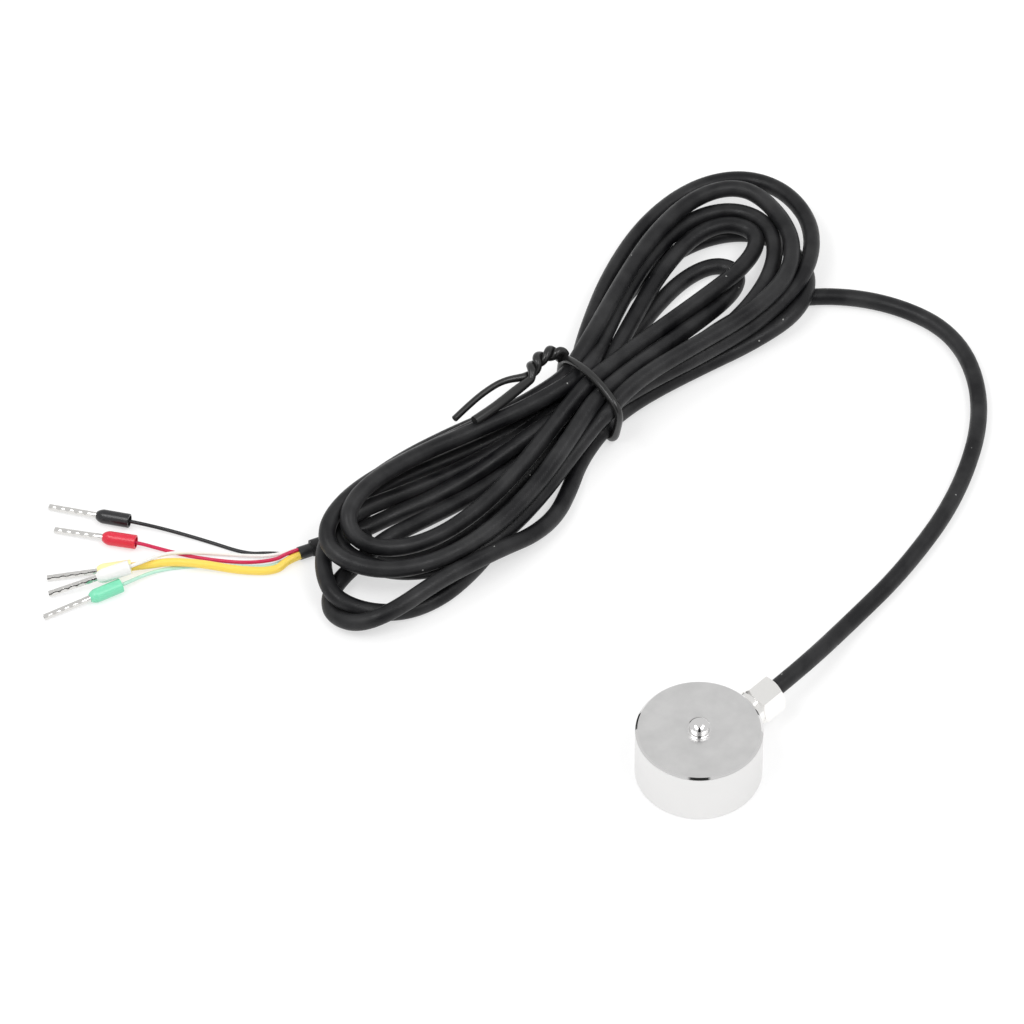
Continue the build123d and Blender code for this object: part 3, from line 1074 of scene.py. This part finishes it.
@dataclass(frozen=True)
class TwistTie:
    """Coated wire round the waist of the hank.

    Attributes:
        wire: Diameter of the wire, in millimetres.
        ring_points: Control points of the ring.
        ring_smoothing: Rounds of smoothing of the ring.
        ring_slack: How far the smoothed ring is let out again, in millimetres.
        twist_route: Middle of the twisted stretch, in millimetres.
        twist_turns: Turns of the twist.
        twist_radius: Radius on which the two wires twist, in millimetres.
        twist_samples: Control points of a wire in each span of the twisted stretch.
        long_end: Tail that reaches further out.
        long_swell: Factor on the wire's radius along it.
        short_end: Tail that lies nearer the hank.
        short_swell: Factor on the wire's radius along it.
    """

    wire: float = 1.35
    ring_points: int = 64
    ring_smoothing: int = 4
    ring_slack: float = 0.12
    twist_route: tuple[Point, ...] = (
        (42.0, 69.6, 8.6),
        (42.0, 70.6, 9.3),
        (40.2, 71.3, 9.6),
        (37.6, 71.6, 9.6),
        (35.9, 70.6, 9.4),
        (34.2, 70.2, 9.2),
    )
    twist_turns: float = 2.0
    twist_radius: float = 0.6
    twist_samples: int = 14
    long_end: tuple[Point, ...] = (
        (31.4, 72.4, 9.5),
        (28.6, 73.0, 9.4),
        (24.6, 73.2, 9.1),
        (20.3, 72.9, 8.8),
    )
    long_swell: float = 0.8
    short_end: tuple[Point, ...] = (
        (31.6, 69.6, 9.4),
        (28.2, 69.4, 9.7),
        (25.0, 69.3, 9.9),
        (21.5, 69.6, 9.9),
    )
    short_swell: float = 1.25

    def ring(self, centres: np.ndarray, middle: np.ndarray, across: np.ndarray, strand: float) -> np.ndarray:
        """Line of a wire drawn tight round the strands.

        At each angle t the wire touches the strand that lies furthest along (cos t, sin t),
        so its line is that strand's centre plus the two radii and the slack along (cos t, sin t).
        Its points are then spread evenly and smoothed.

        Args:
            centres: Strands in the plane of the tie, along its span and above the floor.
            middle: Centre of the tie.
            across: Direction of its span.
            strand: Radius of a strand, in millimetres.

        Returns:
            Control points, in millimetres.
        """
        thick = self.wire / 2
        angle = np.linspace(0, 2 * math.pi, 8 * self.ring_points + 1)
        normal = np.column_stack([np.cos(angle), np.sin(angle)])
        furthest = (normal @ centres.T).argmax(1)
        flat = centres[furthest] + normal * (strand + thick + self.ring_slack)
        along = distances_along(flat)
        even = np.linspace(0, along[-1], self.ring_points, endpoint=False)
        flat = np.column_stack([np.interp(even, along, flat[:, axis]) for axis in range(2)])
        for _ in range(self.ring_smoothing):
            flat = (np.roll(flat, 1, 0) + 2 * flat + np.roll(flat, -1, 0)) / 4
        flat[:, 1] = np.maximum(flat[:, 1], thick)
        return np.column_stack([middle + flat[:, :1] * across, flat[:, 1]])

    def strand_pair(self) -> tuple[np.ndarray, np.ndarray]:
        """Lines of the two twisted wires.

        Wire k runs round the middle line at twist_radius * (cos a u + sin a v), with
        a = 2 pi turns s + pi k.

        Returns:
            Control points of each wire, in millimetres.
        """
        weights = spline_samples(len(self.twist_route), self.twist_samples)
        middle = weights @ np.array(self.twist_route)
        ahead = np.gradient(middle, axis=0)
        ahead /= np.linalg.norm(ahead, axis=1)[:, None]
        level = np.cross(ahead, np.array([0.0, 0.0, 1.0]))
        level /= np.linalg.norm(level, axis=1)[:, None]
        rise = np.cross(level, ahead)
        share = np.linspace(0, 1, len(middle))
        pair = []
        for start in (0.0, math.pi):
            angle = 2 * math.pi * self.twist_turns * share + start
            radius = self.twist_radius
            pair.append(middle + radius * (np.cos(angle)[:, None] * level + np.sin(angle)[:, None] * rise))
        return pair[0], pair[1]

    def build(
        self, centres: np.ndarray, middle: np.ndarray, across: np.ndarray, strand: float
    ) -> list[bpy.types.Object]:
        """Makes the ring and the two twisted ends.

        Args:
            centres: Strands in the plane of the tie, along its span and above the floor.
            middle: Centre of the tie.
            across: Direction of its span.
            strand: Radius of a strand, in millimetres.

        Returns:
            The tie's curves.
        """
        ring = self.ring(centres, middle, across, strand)
        radius = self.wire / 2
        made = [nurbs_curve("tie_ring", ring, radius, closed=True)]
        ends = (
            ("tie_long_end", self.long_end, self.long_swell),
            ("tie_short_end", self.short_end, self.short_swell),
        )
        for wire, (name, end, factor) in zip(self.strand_pair(), ends):
            swell = np.concatenate([np.ones(len(wire)), np.full(len(end), factor)])
            made.append(nurbs_curve(name, np.vstack([wire, end]), radius, swell=swell))
        return made


@dataclass(frozen=True)
class Cable:
    """The cable, its hank, the tie round it and the sleeve on its end.

    Attributes:
        hank: Line of the cable.
        tie: Wire round the hank.
        rubber: Finish of the jacket.
        coating: Finish of the tie's wire.
        shrink: Finish of the end sleeve.
    """

    hank: Hank
    tie: TwistTie = TwistTie()
    rubber: CableRubber = CableRubber("jacket_rubber")
    coating: Plain = Plain("wire_coating", (0.012, 0.012, 0.012), 0.28)
    shrink: Plain = Plain("shrink_black", (0.018, 0.018, 0.019), 0.42, 0.01)

    def build(self, nodes: Solids) -> bpy.types.Object:
        """Args:
            nodes: The solids of the frame, by name.

        Returns:
            The cable's curve.
        """
        plan = self.hank.plan
        jacket = self.rubber.make()
        coat(nodes, jacket, "cable_root")
        coat(nodes, self.shrink.make(), "end_sleeve")
        points = self.hank.points()
        cable = nurbs_curve("cable", points, plan.diameter / 2)
        cable.data.materials.append(jacket)
        line = spline_samples(len(points), FINE_SAMPLES) @ points
        tie = self.build_tie(line)
        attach(cable, "root")
        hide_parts("cable_lead", "cable_hank", "cable_tail")
        return cable

    def build_tie(self, line: np.ndarray) -> list[bpy.types.Object]:
        """Makes the tie: a ring round the strands, its twisted ends and their two tails.

        Args:
            line: Closely spaced points of the cable, in millimetres.

        Returns:
            The tie's pieces.
        """
        plan = self.hank.plan
        centres = self.hank.tie_centres(line)
        made = self.tie.build(centres, np.array(plan.tie), self.hank.across, plan.diameter / 2)
        coating = self.coating.make()
        for piece in made:
            piece.data.materials.append(coating)
            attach(piece, "root")
            LOG.info("tie: %s", piece.name)
        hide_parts("twist_tie")
        return made


# Loose cores and their ferrules


@dataclass(frozen=True)
class CorePlan:
    """One insulated core from the end of the jacket into its ferrule.

    Attributes:
        wire: Which core it is.
        exit: Where it leaves the end sleeve, across and above the middle of its face, and the
            length of its first straight stretch, in millimetres.
        route: Points that it passes near.
        rear: Centre of the ferrule's rear.
        tip: Centre of the ferrule's tip.
        inside: How far its insulation goes into the sleeve, in millimetres.
        diameter: Diameter over the insulation, in millimetres.
    """

    wire: Wire
    exit: Point
    route: tuple[Point, ...]
    rear: Point
    tip: Point
    inside: float = 5.0
    diameter: float = 0.6


CORES = (
    CorePlan(
        Wire.BLACK,
        (0.71, -0.31, 1.5),
        ((-15.3, 79.2, 0.7), (-17.9, 82.0, 0.31), (-20.3, 88.3, 0.31), (-23.4, 94.7, 0.7)),
        (-26.6, 99.6, 1.43),
        (-33.1, 111.8, 0.53),
    ),
    CorePlan(
        Wire.RED,
        (0.255, 0.732, 1.8),
        ((-16.1, 77.3, 1.1), (-20.0, 80.9, 0.72), (-24.1, 87.3, 0.31), (-26.7, 92.2, 0.55)),
        (-29.0, 95.7, 1.43),
        (-35.9, 107.7, 0.53),
    ),
    CorePlan(
        Wire.YELLOW,
        (-0.40, 0.0, 2.0),
        (
            (-17.4, 75.8, 0.7),
            (-21.4, 80.1, 0.8),
            (-24.9, 84.9, 1.5),
            (-28.0, 88.9, 1.4),
            (-30.8, 91.0, 1.25),
        ),
        (-33.1, 92.6, 1.43),
        (-43.4, 100.9, 0.53),
        inside=2.9,
        diameter=1.35,
    ),
    CorePlan(
        Wire.WHITE,
        (0.71, 0.31, 2.4),
        ((-16.9, 79.8, 0.6), (-21.8, 85.8, 0.6), (-25.3, 89.1, 1.3), (-28.8, 90.7, 2.2)),
        (-34.5, 91.5, 3.45),
        (-45.8, 98.2, 0.95),
    ),
    CorePlan(
        Wire.GREEN,
        (0.255, -0.732, 1.7),
        ((-17.6, 77.6, 0.31), (-22.0, 82.8, 0.31), (-26.9, 87.5, 0.32), (-31.0, 90.0, 0.6)),
        (-36.9, 91.0, 1.43),
        (-49.6, 95.6, 0.53),
    ),
)

INSULATION: dict[Wire, Colour] = {
    Wire.BLACK: (0.012, 0.012, 0.014),
    Wire.RED: (0.60, 0.010, 0.08),
    Wire.YELLOW: (0.95, 0.69, 0.11),
    Wire.WHITE: (0.86, 0.85, 0.82),
    Wire.GREEN: (0.50, 0.80, 0.66),
}
SLEEVES: dict[Wire, Colour] = {
    Wire.BLACK: (0.015, 0.015, 0.017),
    Wire.RED: (0.70, 0.02, 0.05),
    Wire.YELLOW: (0.95, 0.86, 0.42),
    Wire.WHITE: (0.86, 0.86, 0.84),
    Wire.GREEN: (0.22, 0.72, 0.47),
}


@dataclass(frozen=True)
class LooseCores:
    """The five cores that leave the end of the jacket, with their ferrules.

    Attributes:
        cores: The cores, in the order in which they are laid.
        face: Centre of the end sleeve's outer face, in millimetres.
        way: Direction in which the cores leave it, as a unit vector.
        hidden: How far each core starts inside the end sleeve, in millimetres.
        core_gloss: Roughness of the insulation.
        core_depth: Share of light that scatters inside it.
        sleeve_gloss: Roughness of the ferrules' sleeves.
        sleeve_depth: Share of light that scatters inside them.
        pin: Finish of the ferrules' pins.
    """

    cores: tuple[CorePlan, ...] = CORES
    face: Point = (-12.52, 75.61, 1.075)
    way: Point = (-0.923, 0.386, 0.0)
    hidden: float = 0.6
    core_gloss: float = 0.38
    core_depth: float = 0.1
    sleeve_gloss: float = 0.3
    sleeve_depth: float = 0.15
    pin: Metal = Metal("tin_plate", (0.74, 0.73, 0.71), 0.15, 0.04)

    def route(self, plan: CorePlan) -> np.ndarray:
        """Control points of one core, from inside the end sleeve to inside its ferrule.

        Args:
            plan: The core.

        Returns:
            Points in millimetres, one in each row.
        """
        side, rise, run = plan.exit
        way = np.array(self.way)
        across = np.array([way[1], -way[0], 0.0])
        start = np.array(self.face) + across * side + np.array([0.0, 0.0, rise])
        start = start - way * self.hidden
        ahead = start + way * (run + self.hidden)
        rear, tip = np.array(plan.rear), np.array(plan.tip)
        inward = (tip - rear) / np.linalg.norm(tip - rear)
        return np.vstack([start, ahead, plan.route, rear, rear + inward * plan.inside])

    def lay(self, plan: CorePlan) -> bpy.types.Object:
        """Args:
            plan: The core.

        Returns:
            The core's curve.
        """
        name = plan.wire.value
        points = self.route(plan)
        core = nurbs_curve(f"wire_{name}", points, plan.diameter / 2)
        colour = INSULATION[plan.wire]
        finish = Plain(f"{name}_insulation", colour, self.core_gloss, translucent=self.core_depth)
        core.data.materials.append(finish.make())
        length = polyline_length(spline_samples(len(points), FINE_SAMPLES) @ points) * MM
        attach(core, "root")
        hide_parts(f"core_{name}")
        LOG.info("core %s: %.1f mm", name, length / MM)
        return core

    def build(self, nodes: Solids) -> None:
        """Lays every core and dresses its ferrule.

        Args:
            nodes: The solids of the frame, by name.
        """
        tin = self.pin.make()
        for plan in self.cores:
            name = plan.wire.value
            colour = SLEEVES[plan.wire]
            sleeve = Plain(f"{name}_sleeve", colour, self.sleeve_gloss, translucent=self.sleeve_depth)
            coat(nodes, sleeve.make(), f"ferrule_sleeve_{name}")
            coat(nodes, tin, f"ferrule_pin_{name}")
            self.lay(plan)


# Studio


@dataclass(frozen=True)
class Lamp:
    """One soft square panel that faces the middle of the picture.

    Attributes:
        name: Name of the light.
        azimuth: Direction of the light, in degrees from +X towards +Y.
        width: Width of the panel, in metres.
        power: Power, in watts.
        elevation: Its height above the horizon, in degrees.
        reach: Its distance, in metres.
    """

    name: str
    azimuth: float
    width: float
    power: float
    elevation: float = 60.0
    reach: float = 1.2

    def hang(self, target: Point) -> None:
        """Hangs the panel over its target.

        Args:
            target: Middle of the picture, in millimetres.
        """
        turn, lift = math.radians(self.azimuth), math.radians(self.elevation)
        way = Vector((math.cos(turn) * math.cos(lift), math.sin(turn) * math.cos(lift), math.sin(lift)))
        data = bpy.data.lights.new(self.name, "AREA")
        data.size = self.width
        data.energy = self.power
        lamp = bpy.data.objects.new(self.name, data)
        lamp.location = Vector(target) * MM + way * self.reach
        lamp.rotation_euler = (-way).to_track_quat("-Z", "Y").to_euler()
        bpy.context.scene.collection.objects.link(lamp)


@dataclass(frozen=True)
class Studio:
    """Floor, sky, lights and camera.

    Attributes:
        azimuth: Direction of the view, in degrees, 0 along +Y and 90 along -X.
        elevation: Height of the camera above the horizon, in degrees.
        distance: From the camera to its target, in millimetres.
        target: Middle of the picture, in millimetres.
        lens: Focal length, in millimetres.
        sensor: Width of the sensor, in millimetres.
        clip: Nearest and furthest distance that the camera sees, in metres.
        sky: Strength of the white surround.
        gap: Half width of the dark gap behind the camera, in degrees.
        gap_fade: Half width of each of the gap's soft edges, in degrees.
        gap_light: Strength of the light in the gap.
        zenith: Sine of the heights over which the sky above turns white.
        floor_reach: Distance from the middle of the floor to its edges, in metres.
        floor_drop: How far it lies under the object, in millimetres.
        floor_grey: Linear brightness of the floor.
        floor_roughness: Its roughness.
        glow: Light that the floor gives off by itself, as a lit table does.
        lamps: The lights.
    """

    azimuth: float = -46.0
    elevation: float = 49.4
    distance: float = 1591.0
    target: Point = (18.0, 57.9, 0.0)
    lens: float = 350.0
    sensor: float = 36.0
    clip: Span = (0.05, 20.0)
    sky: float = 0.78
    gap: float = 17.0
    gap_fade: float = 3.0
    gap_light: float = 0.03
    zenith: Span = (0.93, 0.99)
    floor_reach: float = 4.0
    floor_drop: float = 0.02
    floor_grey: float = 0.42
    floor_roughness: float = 0.8
    glow: float = 0.6
    lamps: tuple[Lamp, ...] = (
        Lamp("key", -90.0, 0.35, 2.8),
        Lamp("second", 178.0, 0.35, 2.8),
        Lamp("left", 140.0, 0.3, 1.6),
        Lamp("right", -50.0, 0.3, 1.2),
    )

    def toward_camera(self) -> Vector:
        """Level direction from the target to the camera, as a unit vector."""
        turn = math.radians(self.azimuth)
        return Vector((math.sin(turn), -math.cos(turn), 0.0))

    def place_camera(self) -> None:
        """Makes the camera and points it at the target."""
        lift = math.radians(self.elevation)
        back = self.toward_camera() * math.cos(lift) + Vector((0.0, 0.0, math.sin(lift)))
        data = bpy.data.cameras.new("camera")
        data.lens = self.lens
        data.sensor_width = self.sensor
        data.clip_start, data.clip_end = self.clip
        camera = bpy.data.objects.new("camera", data)
        camera.location = (Vector(self.target) + back * self.distance) * MM
        camera.rotation_euler = (-back).to_track_quat("-Z", "Y").to_euler()
        bpy.context.scene.collection.objects.link(camera)
        bpy.context.scene.camera = camera

    def lay_floor(self) -> None:
        """Lays the pale floor."""
        mesh = bpy.data.meshes.new("floor")
        reach = self.floor_reach
        corners = [(-reach, -reach, 0.0), (reach, -reach, 0.0), (reach, reach, 0.0), (-reach, reach, 0.0)]
        mesh.from_pydata(corners, [], [(0, 1, 2, 3)])
        floor = bpy.data.objects.new("floor", mesh)
        floor.location.z = -self.floor_drop * MM
        bpy.context.scene.collection.objects.link(floor)
        surface = Surface("floor")
        surface.set("Base Color", (self.floor_grey,) * 3)
        surface.set("Roughness", self.floor_roughness)
        surface.set("Specular IOR Level", 0.0)
        surface.set("Emission Color", (1.0, 1.0, 1.0))
        surface.set("Emission Strength", self.glow)
        mesh.materials.append(surface.material)

    def hang_sky(self) -> None:
        """Surrounds the scene with white, with a dark gap behind the camera.

        The gap is where a direction turns from the camera's by less than the gap's half
        width. Directions that point nearly straight up are white all round.
        """
        world = bpy.data.worlds.new("studio")
        world.use_nodes = True
        graph = Graph(world.node_tree)
        way = graph.new("ShaderNodeTexCoord").outputs["Generated"]
        split = graph.new("ShaderNodeSeparateXYZ")
        graph.link(way, split.inputs[0])
        toward = self.toward_camera()
        front = graph.share_along(way, tuple(toward))
        beside = graph.share_along(way, (toward.y, -toward.x, 0.0))
        width = graph.maths("ABSOLUTE", graph.maths("ARCTAN2", beside, front))
        fade = (math.radians(self.gap - self.gap_fade), math.radians(self.gap + self.gap_fade))
        around = graph.remap(width, fade, (self.gap_light, self.sky))
        above = graph.remap(split.outputs["Z"], self.zenith, (0.0, self.sky))
        back = graph.new("ShaderNodeBackground")
        back.inputs["Color"].default_value = (1.0, 1.0, 1.0, 1.0)
        graph.link(graph.maths("MAXIMUM", around, above), back.inputs["Strength"])
        output = graph.new("ShaderNodeOutputWorld")
        graph.link(back.outputs[0], output.inputs[0])
        bpy.context.scene.world = world

    def build(self) -> None:
        """Sets up the whole studio."""
        self.place_camera()
        self.lay_floor()
        self.hang_sky()
        for lamp in self.lamps:
            lamp.hang(self.target)
        bpy.context.scene.view_settings.view_transform = "Standard"
        LOG.info("studio: camera at %.0f, %.1f degrees", self.azimuth, self.elevation)


def main() -> None:
    """Builds the scene in order."""
    logging.basicConfig(level=logging.INFO, format="%(message)s")
    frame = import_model()
    nodes = frame["nodes"]
    Studio().build()
    Cell().dress(nodes)
    Gland().dress(nodes)
    Cable(Hank(HankPlan(), Settling())).build(nodes)
    LooseCores().build(nodes)


if __name__ == "__main__":
    main()
